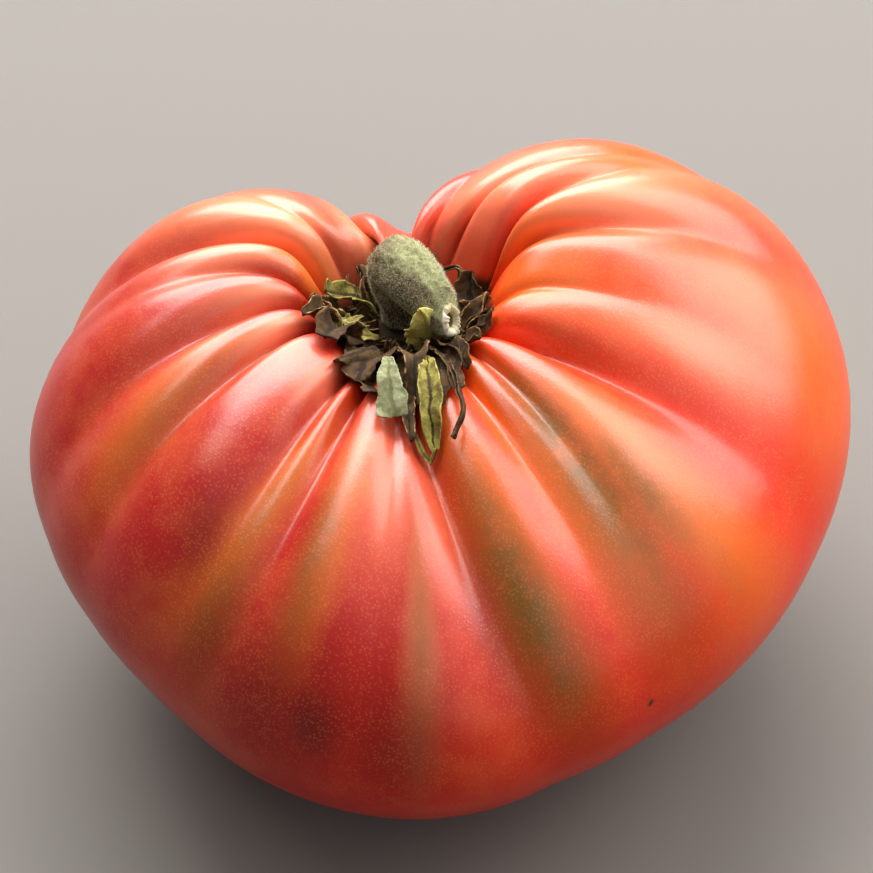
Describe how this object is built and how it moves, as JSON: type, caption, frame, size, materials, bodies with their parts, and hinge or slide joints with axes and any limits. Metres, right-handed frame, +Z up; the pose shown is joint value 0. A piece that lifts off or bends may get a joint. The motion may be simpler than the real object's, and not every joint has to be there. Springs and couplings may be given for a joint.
{
  "type": "tomato",
  "caption": "Ribbed heart-shaped beefsteak tomato with a deep back cleft, a dried curled calyx and a short bent stalk, resting on a small flat spot.",
  "frame": {"origin": "centre of the flat spot that the fruit rests on", "axes": "+Z up, out of the stem cavity; +X along the fruit's widest direction, towards the taller lobe; +Y towards the cleft at the back"},
  "size_m": [0.1114, 0.1015, 0.0676],
  "materials": {
    "skin": "smooth waxy skin, satin gloss, red to orange with olive streaks on the rib flanks",
    "calyx_base": "rough, dry, matt",
    "stalk": "matt, covered in short fine hairs",
    "sepal_brown": "dry, wrinkled, matt",
    "sepal_green": "half dry, veined, matt",
    "sepal_grey": "half dry, downy, matt"
  },
  "bodies": {
    "root": {"fruit": "skin", "receptacle": "calyx_base", "pedicel": "stalk", "sepal_01": "sepal_brown", "sepal_02": "sepal_brown", "sepal_03": "sepal_brown", "sepal_04": "sepal_brown", "sepal_05": "sepal_brown", "sepal_06": "sepal_green", "sepal_07": "sepal_green", "sepal_08": "sepal_brown", "sepal_09": "sepal_brown", "sepal_10": "sepal_brown", "sepal_11": "sepal_brown", "sepal_12": "sepal_grey", "sepal_13": "sepal_brown", "sepal_14": "sepal_green", "sepal_15": "sepal_green", "sepal_16": "sepal_brown", "sepal_17": "sepal_brown", "sepal_18": "sepal_brown"}
  },
  "joints": []
}
